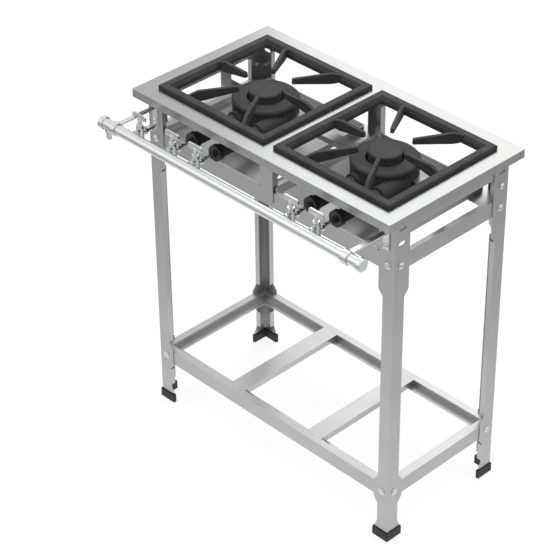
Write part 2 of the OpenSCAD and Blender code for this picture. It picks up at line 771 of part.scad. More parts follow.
// Cock handle number i: blade, hub, stem and the plug that turns in the body
module cock_handle(i) set_back() color(CHROME) translate([cock_xs[i], cock_y, pipe_z]) {
  plug_low = -cock_h / 2 + 3 + seat_gap;
  hub_low = cock_h / 2 + seat_gap;
  blade_low = handle_z - handle_h / 2;
  difference() {
    union() {
      translate([0, 0, plug_low]) cylinder(h = cock_h / 2 + 1 - plug_low, r = plug_r);
      translate([0, 0, hub_low]) cylinder(h = blade_low - cock_h / 2, r = plug_r - 1);
      translate([0, 0, hub_low]) cylinder(h = 3, r = cock_r - 1);
      translate([0, 0, blade_low - 3]) cylinder(h = 7, r1 = plug_r - 1, r2 = plug_r);
      translate([0, handle_t / 2, handle_z]) rotate([90, 0, 0]) linear_extrude(handle_t)
        rounded_rect(handle_len, handle_h, handle_h / 3);
    }
    rotate([0, 90, 0]) cylinder(h = 4 * plug_r, r = plug_r / 2, center = true);
  }
}

// Legs

// Points of an S-shaped shoulder from the width w0 at the height z0 to the width w1 at z1
function shoulder(w0, z0, w1, z1) = [for (i = [0 : shoulder_steps]) let (t = i / shoulder_steps)
  [w0 + (w1 - w0) * (1 - cos(180 * t)) / 2, z0 + (z1 - z0) * t]];

// Outline of a leg's flange: X is the width from the corner, Y is the height
module flange_outline() polygon(concat(
  [[0, foot_floor], [toe_w, foot_floor]],
  shoulder(toe_w, toe_top, shaft_w, toe_top + taper_h),
  shoulder(shaft_w, node_low - taper_h, node_w, node_low),
  shoulder(node_w, node_top, shaft_w, node_top + taper_h),
  shoulder(shaft_w, head_low - taper_h, head_w, head_low),
  [[head_w, leg_top], [0, leg_top]]));

// The turned edge of a leg's shaft between two heights
module leg_edge(z0, z1) translate([-shaft_w, -leg_lip, z0]) cube([leg_t, leg_lip, z1 - z0]);

module leg_flange() difference() {
  union() {
    rotate([90, 0, 0]) linear_extrude(leg_t) mirror([1, 0]) flange_outline();
    leg_edge(toe_top + taper_h, node_low - taper_h);
    leg_edge(node_top + taper_h, head_low - taper_h);
  }
  for (z = [leg_bolt_z, shelf_bolt_z]) flange_hole(bolt_in, z, bolt_r + bolt_gap);
}

module leg(sx, sy) set_back() color(STEEL) at_corner(sx, sy) both_flanges() leg_flange();

// The plan of an angle with the corner as origin, t thick and w long
module angle_plan(w, t) {
  translate([-w, -t]) square([w, t]);
  translate([-t, -w]) square([t, w]);
}

module feet() set_back() color(BLACK) all_corners() translate([stand_w / 2, stand_d / 2, 0]) difference() {
  thick = leg_t + 2 * foot_wall;
  play = 2 * fix_gap;
  translate([foot_wall, foot_wall, 0]) linear_extrude(foot_h) angle_plan(foot_w, thick);
  translate([fix_gap, fix_gap, foot_floor]) linear_extrude(foot_h) angle_plan(toe_w + play, leg_t + play);
}

// Shelf

module shelf_section() {
  translate([0, shelf_low]) square([sheet_t, shelf_h]);
  translate([0, shelf_z - sheet_t]) square([shelf_flat, sheet_t]);
  translate([shelf_flat - sheet_t, shelf_z - ledge_drop - sheet_t]) square([sheet_t, ledge_drop + sheet_t]);
  translate([shelf_flat - sheet_t, shelf_z - ledge_drop - sheet_t]) square([ledge_w + sheet_t, sheet_t]);
}

module shelf_rail_front() set_back() color(POLISHED) difference() {
  front_rail(rail_w, rail_d) shelf_section();
  corner_bolt_holes(shelf_bolt_z);
}

module shelf_rail_rear() set_back() color(POLISHED) difference() {
  rear_rail(rail_w, rail_d) shelf_section();
  corner_bolt_holes(shelf_bolt_z);
}

module shelf_rail_left() set_back() color(POLISHED) difference() {
  left_rail(rail_w, rail_d) shelf_section();
  corner_bolt_holes(shelf_bolt_z);
}

module shelf_rail_right() set_back() color(POLISHED) difference() {
  right_rail(rail_w, rail_d) shelf_section();
  corner_bolt_holes(shelf_bolt_z);
}

// Two channels across the shelf that stand on the front and rear ledges
module shelf_cross_members() set_back() color(POLISHED) for (s = [-1, 1])
  translate([s * (cross_gap + cross_w) / 2, 0, shelf_z - ledge_drop]) {
    len = rail_d - 2 * shelf_flat;
    inside = cross_w - 2 * sheet_t;
    difference() {
      translate([-cross_w / 2, -len / 2, 0]) cube([cross_w, len, ledge_drop]);
      translate([-inside / 2, -len / 2 - 1, -1]) cube([inside, len + 2, ledge_drop - sheet_t + 1]);
    }
  }

// Fasteners

// A bolt through a wall that ends at depth grip: domed head outside, nut inside. It
// points along -Z from the outer face.
module bolt(r, head_r, head_h, grip) {
  rotate_extrude() {
    intersection() {
      translate([0, head_h - head_r * 1.25]) circle(head_r * 1.25);
      square([head_r, head_h]);
    }
  }
  translate([0, 0, -grip - 8]) cylinder(h = grip + 8.5, r = r);
  translate([0, 0, -grip - 6]) cylinder(h = 6, r = head_r, $fn = 6);
}

// A bolt through a flange that faces Y, with the corner as origin
module flange_bolt(z, grip) translate([-bolt_in, 0, z]) rotate([-90, 0, 0])
  bolt(bolt_r, bolt_head_r, bolt_head_h, grip);

module bolts() set_back() color(CHROME) {
  all_corners() both_flanges() for (z = [leg_bolt_z, shelf_bolt_z]) flange_bolt(z, leg_t + sheet_t);
  for (sx = [-1, 1]) at_corner(sx, 1) both_flanges() flange_bolt(slot_z, leg_t);
  for (s = [-1, 1]) translate([s * bracket_mid, front_y - bracket_t, screw_z]) rotate([90, 0, 0])
    bolt(screw_r, screw_head_r, screw_head_h, leg_t + bracket_t);
}

top_plate();
upper_rails();
lower_rail_front();
lower_rail_rear();
lower_rail_left();
lower_rail_right();
corner_post(-1, -1);  // post_front_left
corner_post(1, -1);  // post_front_right
corner_post(-1, 1);  // post_rear_left
corner_post(1, 1);  // post_rear_right
mullions();
frame_tie();
burner_rest();
drip_tray(true);  // drip_tray_left
drip_tray(false);  // drip_tray_right
grate(true);  // grate_left
grate(false);  // grate_right
ring_burner(-1);  // ring_burner_left
ring_burner(1);  // ring_burner_right
ring_cap(-1);  // ring_cap_left
ring_cap(1);  // ring_cap_right
inner_burner(-1);  // inner_burner_left
inner_burner(1);  // inner_burner_right
inner_cap(-1);  // inner_cap_left
inner_cap(1);  // inner_cap_right
mixer_tube(0);  // mixer_tube_1
mixer_tube(1);  // mixer_tube_2
mixer_tube(2);  // mixer_tube_3
mixer_tube(3);  // mixer_tube_4
air_shutter(0);  // air_shutter_1
air_shutter(1);  // air_shutter_2
air_shutter(2);  // air_shutter_3
air_shutter(3);  // air_shutter_4
gas_pipe();
pipe_caps();
gas_inlet();
pipe_bracket(true);  // pipe_bracket_left
pipe_bracket(false);  // pipe_bracket_right
gas_cock(0);  // gas_cock_0
gas_cock(1);  // gas_cock_1
gas_cock(2);  // gas_cock_2
gas_cock(3);  // gas_cock_3
gas_cock(4);  // gas_cock_4
cock_handle(0);  // cock_handle_0
cock_handle(1);  // cock_handle_1
cock_handle(2);  // cock_handle_2
cock_handle(3);  // cock_handle_3
cock_handle(4);  // cock_handle_4
leg(-1, -1);  // leg_front_left
leg(1, -1);  // leg_front_right
leg(-1, 1);  // leg_rear_left
leg(1, 1);  // leg_rear_right
feet();
shelf_rail_front();
shelf_rail_rear();
shelf_rail_left();
shelf_rail_right();
shelf_cross_members();
bolts();
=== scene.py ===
"""Finishes, weld seams, washers and a studio for a stock pot range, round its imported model."""
from math import cos, pi, radians, sin

import bmesh
import bpy
from bpy.props import FloatProperty, FloatVectorProperty, PointerProperty, StringProperty
from mathutils import Matrix, Vector


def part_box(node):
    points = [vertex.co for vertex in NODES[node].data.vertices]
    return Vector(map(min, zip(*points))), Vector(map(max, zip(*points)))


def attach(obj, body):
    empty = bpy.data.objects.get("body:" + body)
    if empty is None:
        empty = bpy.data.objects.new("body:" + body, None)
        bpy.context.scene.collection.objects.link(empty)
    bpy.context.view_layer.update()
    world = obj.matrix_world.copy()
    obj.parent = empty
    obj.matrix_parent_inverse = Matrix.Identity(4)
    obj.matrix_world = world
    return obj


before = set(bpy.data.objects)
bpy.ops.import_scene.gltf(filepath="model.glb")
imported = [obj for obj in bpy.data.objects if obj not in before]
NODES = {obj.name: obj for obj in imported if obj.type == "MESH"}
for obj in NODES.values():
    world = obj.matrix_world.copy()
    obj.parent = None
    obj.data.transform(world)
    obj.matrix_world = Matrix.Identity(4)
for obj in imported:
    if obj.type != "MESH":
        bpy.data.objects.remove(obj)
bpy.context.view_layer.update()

bl_info = {
    "name": "Stock pot range",
    "version": (1, 0, 0),
    "blender": (4, 5, 0),
    "location": "3D View > Sidebar > Range",
    "description": "Dresses a two-burner stock pot range in its real finishes",
    "category": "Object",
}

MM = 0.001
STAND = "stand"
LEGS = [name for name in NODES if name.startswith("leg_")]
# The point inside the range that the lamps face, and the one on its top that the panel faces
MIDDLE = Vector((0, 0, 0.55))
PLATE_TOP = Vector((0.1, 0, 0.78))
# Each lamp's name, watts, width in metres, place and target. The panel stands behind the range,
# where its top faces mirror it.
LAMPS = [
    ("front_lamp", 7, 1.8, (-1.6, -2.2, 2.9), MIDDLE),
    ("side_lamp", 4, 2.2, (2.6, 1.0, 2.2), MIDDLE),
    ("overhead_lamp", 17, 2.4, (0.2, 0, 3.2), MIDDLE),
    ("rear_panel", 13.0, 1.8, (-0.86, 1.8, 2.2), PLATE_TOP),
]


def named(*starts):
    """The CAD nodes whose names start with one of these words, each of which has to find some."""
    for start in starts:
        if not any(name.startswith(start) for name in NODES):
            raise RuntimeError("no node's name starts with " + start)
    return sorted(name for name in NODES if name.startswith(starts))


class RangeFinishes(bpy.types.PropertyGroup):
    """Colours of the range's metals, castings and rubber"""

    sheet: StringProperty(name="Folded sheet", description="Brushed stainless, sRGB hex", default="#B0B1B0")
    plate: StringProperty(
        name="Top plate", description="Bright rolled stainless, sRGB hex",
        default="#A8A9A8")
    tray: StringProperty(name="Drip trays", description="Matt rolled stainless, sRGB hex", default="#C6C7C6")
    tube: StringProperty(name="Pipe and brackets", description="Satin stainless, sRGB hex", default="#D8D9DA")
    iron: StringProperty(name="Castings", description="Grey iron as cast, sRGB hex", default="#464647")
    plating: StringProperty(name="Plating", description="Chrome on brass, sRGB hex", default="#CCCDCE")
    black: StringProperty(name="Stove enamel", description="Black satin enamel, sRGB hex", default="#17181A")
    rubber: StringProperty(name="Feet", description="Moulded rubber, sRGB hex", default="#141516")
    zinc: StringProperty(name="Bolts", description="Bright zinc plating, sRGB hex", default="#D5D6D8")
    grain: FloatProperty(
        name="Grain spacing", description="Spacing of the brushed lines as drawn",
        default=1.1 * MM, min=0.2 * MM, max=4 * MM, unit="LENGTH")


class RangeSeams(bpy.types.PropertyGroup):
    """Sizes of the weld seams and washers"""

    bead: FloatProperty(
        name="Bead width", description="Width of a weld bead on a mitre",
        default=2.6 * MM, min=1 * MM, max=5 * MM, unit="LENGTH")
    bead_rise: FloatProperty(
        name="Bead rise", description="How far a bead stands over the sheet",
        default=0.5 * MM, min=0.1 * MM, max=1.5 * MM, unit="LENGTH")
    ripple: FloatProperty(
        name="Ripple", description="Spacing of the ripples along a bead",
        default=1.4 * MM, min=0.5 * MM, max=4 * MM, unit="LENGTH")
    bead_start: FloatProperty(
        name="Bead start", description="From a corner to the bead's start behind the leg or post",
        default=3 * MM, min=1 * MM, max=5 * MM, unit="LENGTH")
    shelf_end: FloatProperty(
        name="Shelf bead end", description="From a corner to the end of a bead on the shelf frame",
        default=15 * MM, min=8 * MM, max=20 * MM, unit="LENGTH")
    rail_stop: FloatProperty(
        name="Rail bead stop", description="From the end of a bead on the lower rails to the flat's edge",
        default=0.5 * MM, min=0.2 * MM, max=3 * MM, unit="LENGTH")
    washer: FloatProperty(
        name="Washer radius", description="Outer radius of a washer under a leg bolt",
        default=8.4 * MM, min=6 * MM, max=11 * MM, unit="LENGTH")
    washer_hole: FloatProperty(
        name="Washer hole", description="Radius of a washer's hole",
        default=4.3 * MM, min=4.1 * MM, max=5 * MM, unit="LENGTH")
    washer_thick: FloatProperty(
        name="Washer thickness", description="Thickness of a washer",
        default=1.0 * MM, min=0.5 * MM, max=1.5 * MM, unit="LENGTH")
    washer_edge: FloatProperty(
        name="Washer edge", description="Chamfer of a washer's outer edge",
        default=0.25 * MM, min=0.1 * MM, max=0.4 * MM, unit="LENGTH")
    bolt_in: FloatProperty(
        name="Bolt place", description="From a corner's edge to the axis of a leg bolt",
        default=18 * MM, min=12 * MM, max=24 * MM, unit="LENGTH")


class RangeLips(bpy.types.PropertyGroup):
    """Sizes of the lip inside a grate's frame, which locates the grate in the plate's opening"""

    root: FloatProperty(
        name="Lip root", description="From the grate's side to where the lip leaves its bar",
        default=16.2 * MM, min=15 * MM, max=16.4 * MM, unit="LENGTH")
    rise: FloatProperty(
        name="Lip rise", description="How far over the plate the lip leaves its bar",
        default=8 * MM, min=2 * MM, max=8.2 * MM, unit="LENGTH")
    edge: FloatProperty(
        name="Lip clearance", description="Height of the lip over the plate's top, and its lower chamfer",
        default=0.6 * MM, min=0.3 * MM, max=0.8 * MM, unit="LENGTH")
    reach_in: FloatProperty(
        name="Lip place", description="From the grate's side to the lip's outer face",
        default=19.4 * MM, min=19.2 * MM, max=21 * MM, unit="LENGTH")
    thick: FloatProperty(
        name="Lip thickness", description="Thickness of the lip",
        default=1.0 * MM, min=0.8 * MM, max=3 * MM, unit="LENGTH")
    hang: FloatProperty(
        name="Lip depth", description="How far the lip hangs below the plate's top",
        default=8 * MM, min=3 * MM, max=12 * MM, unit="LENGTH")
    corner: FloatProperty(
        name="Lip corner", description="Corner radius of the lip's outer face",
        default=6 * MM, min=4 * MM, max=12 * MM, unit="LENGTH")


class RangeStudio(bpy.types.PropertyGroup):
    """Place of the camera and strength of the light"""

    turn: FloatProperty(
        name="Azimuth", description="Camera's turn round the range",
        default=radians(45.05), subtype="ANGLE")
    tilt: FloatProperty(
        name="Elevation", description="Camera's height angle",
        default=radians(34.81), subtype="ANGLE")
    distance: FloatProperty(
        name="Distance", description="From the camera to the point that it looks at",
        default=4.159, min=1, max=20, unit="LENGTH")
    lens: FloatProperty(
        name="Lens", description="Focal length in millimetres",
        default=133.0, min=20, max=300)
    aim: FloatVectorProperty(
        name="Aim", description="Point that the camera looks at",
        default=(14.6 * MM, -14.6 * MM, 443.0 * MM), subtype="TRANSLATION")
    shift_x: FloatProperty(
        name="Shift right", description="The photograph's crop off its lens's axis, as a share of its width",
        default=-0.0496, min=-0.2, max=0.2)
    shift_y: FloatProperty(
        name="Shift up", description="The same crop, upwards", default=-0.0068, min=-0.2, max=0.2)
    daylight: FloatProperty(
        name="Light from above", description="Strength of the room's light overhead",
        default=1.0, min=0, max=3)
    sides: FloatProperty(
        name="Light from the sides", description="Strength of the room's light at eye level",
        default=0.08, min=0, max=3)
    paper: StringProperty(
        name="Floor", description="Matt paper as the range sees it, sRGB hex",
        default="#7C7C7C")
    glow: FloatProperty(
        name="Floor glow", description="Light that the camera sees over the floor's own",
        default=0.85, min=0, max=2)
    pool: FloatProperty(
        name="Pool radius", description="How far the pool of light on the floor reaches",
        default=2.1, min=0.5, max=10, unit="LENGTH")
    pool_light: FloatProperty(
        name="Pool light", description="Strength of that pool under the range", default=1.22, min=0, max=3)
    pool_edge: FloatProperty(
        name="Pool edge", description="Strength of the floor's light outside the pool",
        default=0.42, min=0, max=3)
    floor: FloatProperty(
        name="Floor reach", description="From the range to the floor's edge",
        default=14, min=4, max=30, unit="LENGTH")


def linear(hex_colour):
    """An sRGB hex colour as linear red, green, blue and alpha."""
    parts = [int(hex_colour[i : i + 2], 16) / 255 for i in (1, 3, 5)]
    return [c / 12.92 if c <= 0.04045 else ((c + 0.055) / 1.055) ** 2.4 for c in parts] + [1.0]


def add_node(tree, kind, links=(), inputs=(), **settings):
    """Adds a node, sets its options and socket values, and joins its inputs to other nodes' outputs."""
    node = tree.nodes.new(kind)
    for key, value in settings.items():
        setattr(node, key, value)
    for key, value in dict(inputs).items():
        node.inputs[key].default_value = value
    for key, (source, output) in dict(links).items():
        tree.links.new(source.outputs[output], node.inputs[key])
    return node


def new_material(name, **principled):
    """A material with one Principled shader that has these socket values."""
    material = bpy.data.materials.new(name)
    material.use_nodes = True
    tree = material.node_tree
    tree.nodes.clear()
    shader = add_node(tree, "ShaderNodeBsdfPrincipled",
                      inputs={key.replace("_", " "): value for key, value in principled.items()})
    add_node(tree, "ShaderNodeOutputMaterial", {"Surface": (shader, "BSDF")})
    return material, tree, shader


def roughened(tree, shader, pattern, output, low, high):
    """Spreads the shader's roughness from low to high by a 0 to 1 pattern."""
    rough = add_node(tree, "ShaderNodeMapRange", {"Value": (pattern, output)},
                     {"To Min": low, "To Max": high})
    tree.links.new(rough.outputs["Result"], shader.inputs["Roughness"])


def tinted(tree, shader, pattern, output, dark, light):
    """Colours the shader between two hex colours by a pattern."""
    ramp = add_node(tree, "ShaderNodeMix", {"Factor": (pattern, output)}, data_type="RGBA")
    ramp.inputs["A"].default_value = linear(dark)
    ramp.inputs["B"].default_value = linear(light)
    tree.links.new(ramp.outputs["Result"], shader.inputs["Base Color"])


def shaded(hex_colour, share):
    """The same hex colour, made darker or lighter by a share."""
    parts = [round(min(255, int(hex_colour[i : i + 2], 16) * share)) for i in (1, 3, 5)]
    return "#%02X%02X%02X" % tuple(parts)


def bumped(tree, shader, pattern, output, depth, under=None):
    """Raises the surface by a pattern, depth in metres, on top of rounded edges where given."""
    links = {"Height": (pattern, output)}
    if under:
        links["Normal"] = (under, "Normal")
    bump = add_node(tree, "ShaderNodeBump", links, {"Strength": 1.0, "Distance": depth})
    tree.links.new(bump.outputs["Normal"], shader.inputs["Normal"])


def rounded(tree, shader, radius):
    """Rounds the edges of sheet and castings by their fold or fillet radius."""
    edge = add_node(tree, "ShaderNodeBevel", inputs={"Radius": radius}, samples=4)
    tree.links.new(edge.outputs["Normal"], shader.inputs["Normal"])
    return edge


def brushed_stainless_sheet(finishes, along):
    """Stainless sheet, belt brushed before folding: fine lines that run the length of each
    piece, so that its highlights are drawn out across them."""
    material, tree, shader = new_material(
        "brushed_stainless_sheet_" + "xyz"[along], Metallic=1.0, Roughness=0.34)
    place = add_node(tree, "ShaderNodeTexCoord")
    across = 1 / finishes.grain
    # A line is drawn as a noise cell sixty times longer than it is wide
    stretch = [across] * 3
    stretch[along] = across / 60
    lay = add_node(tree, "ShaderNodeMapping", {"Vector": (place, "Object")}, {"Scale": stretch})
    lines = add_node(tree, "ShaderNodeTexNoise", {"Vector": (lay, "Vector")},
                     {"Scale": 1.0, "Detail": 3.0, "Roughness": 0.6})
    # Handling leaves faint cloudy patches
    cloud = add_node(tree, "ShaderNodeTexNoise", {"Vector": (place, "Object")},
                     {"Scale": 1 / (91 * MM), "Detail": 2.0})
    tinted(tree, shader, cloud, "Fac", shaded(finishes.sheet, 0.95), shaded(finishes.sheet, 1.04))
    roughened(tree, shader, lines, "Fac", 0.26, 0.42)
    edge = rounded(tree, shader, 0.8 * MM)
    bumped(tree, shader, lines, "Fac", 0.012 * MM, edge)
    return material


def bright_rolled_stainless(finishes):
    """Stainless sheet with a bright mill finish: it mirrors the room softly, with faint rolling
    lines along the width and a slight waviness of the thin sheet."""
    material, tree, shader = new_material("bright_rolled_stainless", Metallic=1.0, Roughness=0.25)
    place = add_node(tree, "ShaderNodeTexCoord")
    # Rolling lines are about 2.5 mm apart and far longer than they are wide
    lay = add_node(tree, "ShaderNodeMapping", {"Vector": (place, "Object")},
                   {"Scale": (1 / (167 * MM), 1 / (2.5 * MM), 1 / (2.5 * MM))})
    lines = add_node(tree, "ShaderNodeTexNoise", {"Vector": (lay, "Vector")},
                     {"Scale": 1.0, "Detail": 3.0, "Roughness": 0.55})
    # The sheet rises and falls by a few hundredths of a millimetre over a hand's width
    wave = add_node(tree, "ShaderNodeTexNoise", {"Vector": (place, "Object")},
                    {"Scale": 1 / (111 * MM), "Detail": 1.0})
    tinted(tree, shader, lines, "Fac", shaded(finishes.plate, 0.98), shaded(finishes.plate, 1.02))
    roughened(tree, shader, lines, "Fac", 0.23, 0.28)
    edge = rounded(tree, shader, 1.2 * MM)
    bumped(tree, shader, wave, "Fac", 0.05 * MM, edge)
    return material


def matt_rolled_stainless(finishes):
    """Thin stainless sheet, cold rolled to a dull finish and pressed into a tray: pale and
    matt, with faint cloudy patches that heat and wiping leave."""
    material, tree, shader = new_material("matt_rolled_stainless", Metallic=1.0, Roughness=0.44)
    place = add_node(tree, "ShaderNodeTexCoord")
    # Patches are about 60 mm across
    cloud = add_node(tree, "ShaderNodeTexNoise", {"Vector": (place, "Object")},
                     {"Scale": 1 / (60 * MM), "Detail": 3.0})
    tinted(tree, shader, cloud, "Fac", shaded(finishes.tray, 0.93), shaded(finishes.tray, 1.04))
    roughened(tree, shader, cloud, "Fac", 0.38, 0.5)
    rounded(tree, shader, 0.8 * MM)
    return material


def sand_cast_iron(finishes):
    """Grey iron as it leaves a sand mould: dark, matt and grainy like fine sandpaper, with
    darker and lighter patches where oil has dried on it."""
    material, tree, shader = new_material("sand_cast_iron", Roughness=0.55, Specular_IOR_Level=0.1)
    place = add_node(tree, "ShaderNodeTexCoord")
    # Moulding sand of 0.5 mm, drawn at 1.6 mm so that it shows
    grit = add_node(tree, "ShaderNodeTexNoise", {"Vector": (place, "Object")},
                    {"Scale": 1 / (1.6 * MM), "Detail": 4.0, "Roughness": 0.65})
    skin = add_node(tree, "ShaderNodeTexNoise", {"Vector": (place, "Object")},
                    {"Scale": 1 / (38 * MM), "Detail": 3.0})
    tinted(tree, shader, skin, "Fac", shaded(finishes.iron, 0.78), shaded(finishes.iron, 1.22))
    roughened(tree, shader, grit, "Fac", 0.48, 0.68)
    edge = rounded(tree, shader, 0.6 * MM)
    bumped(tree, shader, grit, "Fac", 0.12 * MM, edge)
    return material


def satin_steel_tube(finishes):
    """Drawn stainless tube and the brackets that hold it, polished along the tube: satin, so
    that it shows one broad soft highlight, with fine lines that run from end to end."""
    material, tree, shader = new_material("satin_steel_tube", Metallic=1.0, Roughness=0.24)
    place = add_node(tree, "ShaderNodeTexCoord")
    # Polishing lines are 0.8 mm apart and far longer than they are wide
    lay = add_node(tree, "ShaderNodeMapping", {"Vector": (place, "Object")},
                   {"Scale": (1 / (125 * MM), 1 / (0.8 * MM), 1 / (0.8 * MM))})
    lines = add_node(tree, "ShaderNodeTexNoise", {"Vector": (lay, "Vector")},
                     {"Scale": 1.0, "Detail": 2.0})
    tinted(tree, shader, lines, "Fac", shaded(finishes.tube, 0.96), shaded(finishes.tube, 1.03))
    roughened(tree, shader, lines, "Fac", 0.2, 0.3)
    rounded(tree, shader, 0.5 * MM)
    return material


def chrome_plated_brass(finishes):
    """Turned brass under chrome: a mirror with fine turning marks."""
    material, tree, shader = new_material("chrome_plated_brass", Metallic=1.0, Roughness=0.14)
    place = add_node(tree, "ShaderNodeTexCoord")
    # Turning marks 0.6 mm apart, broken up by handling
    marks = add_node(tree, "ShaderNodeTexNoise", {"Vector": (place, "Object")},
                     {"Scale": 1 / (0.6 * MM), "Detail": 2.0})
    tinted(tree, shader, marks, "Fac", shaded(finishes.plating, 0.97), shaded(finishes.plating, 1.02))
    roughened(tree, shader, marks, "Fac", 0.1, 0.19)
    rounded(tree, shader, 0.5 * MM)
    return material


def zinc_plated_steel(finishes):
    """Cold-headed bolts with bright zinc: a pale metal with a cloudy bloom."""
    material, tree, shader = new_material("zinc_plated_steel", Metallic=1.0, Roughness=0.25)
    place = add_node(tree, "ShaderNodeTexCoord")
    bloom = add_node(tree, "ShaderNodeTexNoise", {"Vector": (place, "Object")},
                     {"Scale": 1 / (4 * MM), "Detail": 3.0})
    tinted(tree, shader, bloom, "Fac", shaded(finishes.zinc, 0.9), shaded(finishes.zinc, 1.03))
    roughened(tree, shader, bloom, "Fac", 0.18, 0.34)
    rounded(tree, shader, 0.4 * MM)
    return material


def stoved_black_enamel(finishes):
    """Pressed steel with stoved enamel: black, even and softly glossy, with slight orange peel."""
    material, tree, shader = new_material("stoved_black_enamel", Roughness=0.38, IOR=1.5)
    place = add_node(tree, "ShaderNodeTexCoord")
    # Orange peel of about 1.5 mm
    peel = add_node(tree, "ShaderNodeTexNoise", {"Vector": (place, "Object")},
                    {"Scale": 1 / (1.5 * MM), "Detail": 2.0})
    tinted(tree, shader, peel, "Fac", shaded(finishes.black, 0.85), shaded(finishes.black, 1.2))
    roughened(tree, shader, peel, "Fac", 0.3, 0.46)
    edge = rounded(tree, shader, 0.6 * MM)
    bumped(tree, shader, peel, "Fac", 0.03 * MM, edge)
    return material


def moulded_rubber(finishes):
    """Moulded rubber: near black and matt, with the mould's spark-eroded grain."""
    material, tree, shader = new_material("moulded_rubber", Roughness=0.62, IOR=1.52)
    place = add_node(tree, "ShaderNodeTexCoord")
    # Mould grain of 0.4 mm, drawn at 1 mm so that it shows
    grain = add_node(tree, "ShaderNodeTexNoise", {"Vector": (place, "Object")},
                     {"Scale": 1 / (1.0 * MM), "Detail": 2.0})
    tinted(tree, shader, grain, "Fac", shaded(finishes.rubber, 0.85), shaded(finishes.rubber, 1.25))
    roughened(tree, shader, grain, "Fac", 0.54, 0.72)
    edge = rounded(tree, shader, 1.0 * MM)
    bumped(tree, shader, grain, "Fac", 0.05 * MM, edge)
    return material


def dress(names, material):
    """Gives CAD nodes a material and leaves their meshes alone."""
    for name in names:
        for slot in NODES[name].material_slots:
            slot.link = "OBJECT"
            slot.material = material


def add_piece(name, mesh, material, body):
    """A new piece of the range that rides on a body and takes the finish that it is given."""
    piece = bpy.data.objects.new(name, mesh)
    bpy.context.scene.collection.objects.link(piece)
    mesh.materials.append(material)
    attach(piece, body)
    return piece


def turned(work, outline, place, steps=32):
    """Turns a closed outline of (radius, height) points round its axis, at place."""
    rings = []
    for i in range(steps):
        angle = 2 * pi * i / steps
        rings.append([work.verts.new(place @ Vector((r * cos(angle), r * sin(angle), h)))
                      for r, h in outline])
    for i in range(steps):
        here, there = rings[i], rings[(i + 1) % steps]
        for j in range(len(outline)):
            k = (j + 1) % len(outline)
            work.faces.new((here[j], there[j], there[k], here[k]))


def bead(work, start, end, up, seams):
    """A rippled weld bead from start to end on a face whose normal is up. Its rings are half
    circles that swell and shrink by turns, and it tapers at both ends."""
    facets = 6
    trough = 0.86
    tail = 0.3
    along = (end - start).normalized()
    side = along.cross(up)
    count = max(4, round((end - start).length / (seams.ripple / 2)))
    rings = []
    for i in range(count + 1):
        swell = (tail if i in (0, count) else 1.0) * (1.0 if i % 2 else trough)
        centre = start.lerp(end, i / count)
        ring = []
        for j in range(facets + 1):
            angle = pi * j / facets
            ring.append(work.verts.new(
                centre + side * (cos(angle) * seams.bead / 2 * swell)
                + up * (sin(angle) * seams.bead_rise * swell)))
        rings.append(ring)
    for here, there in zip(rings, rings[1:]):
        for j in range(facets + 1):
            k = (j + 1) % (facets + 1)
            work.faces.new((here[j], there[j], there[k], here[k]))
    work.faces.new(rings[0])
    work.faces.new(list(reversed(rings[-1])))


def finished_mesh(work, name):
    """Turns a bmesh into a smooth mesh whose faces point outwards."""
    bmesh.ops.recalc_face_normals(work, faces=work.faces)
    mesh = bpy.data.meshes.new(name)
    work.to_mesh(mesh)
    work.free()
    mesh.shade_smooth()
    return mesh


def corners():
    """For each leg: the signs of its corner, and the corner's outer edge at the leg's foot."""
    found = []
    for name in LEGS:
        low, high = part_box(name)
        sx, sy = (1 if low.x + high.x > 0 else -1), (1 if low.y + high.y > 0 else -1)
        found.append((name, sx, sy, Vector((high.x if sx > 0 else low.x, high.y if sy > 0 else low.y, 0))))
    return found


class RANGE_OT_sheet(bpy.types.Operator):
    """Finishes the folded sheet of the stand with its grain along each piece"""

    bl_idname = "stock_range.sheet"
    bl_label = "Folded sheet"

    def execute(self, context):
        finishes = context.scene.range_finishes
        across, deep, upright = (brushed_stainless_sheet(finishes, axis) for axis in range(3))
        dress(named("leg_", "post_", "mullions"), upright)
        dress(named("lower_rail_front", "lower_rail_rear", "upper_rails", "burner_rest"), across)
        dress(named("lower_rail_left", "lower_rail_right", "frame_tie"), deep)
        dress(named("shelf_rail_front", "shelf_rail_rear"), across)
        dress(named("shelf_rail_left", "shelf_rail_right", "shelf_cross"), deep)
        dress(named("drip_tray"), matt_rolled_stainless(finishes))
        return {"FINISHED"}


class RANGE_OT_plate(bpy.types.Operator):
    """Finishes the top plate"""

    bl_idname = "stock_range.plate"
    bl_label = "Top plate"

    def execute(self, context):
        dress(["top_plate"], bright_rolled_stainless(context.scene.range_finishes))
        return {"FINISHED"}


class RANGE_OT_castings(bpy.types.Operator):
    """Finishes the grates, burners and mixer tubes"""

    bl_idname = "stock_range.castings"
    bl_label = "Castings"

    def execute(self, context):
        iron = sand_cast_iron(context.scene.range_finishes)
        dress(named("grate_", "ring_", "inner_", "mixer_tube"), iron)
        return {"FINISHED"}


def rounded_square(half, radius, steps=6):
    """Points of a square with round corners, anticlockwise, about the origin."""
    points = []
    for quarter in range(4):
        middle = Vector((half - radius, half - radius, 0))
        for i in range(steps + 1):
            angle = pi / 2 * i / steps
            point = middle + Vector((cos(angle), sin(angle), 0)) * radius
            points.append(Matrix.Rotation(quarter * pi / 2, 3, "Z") @ point)
    return points


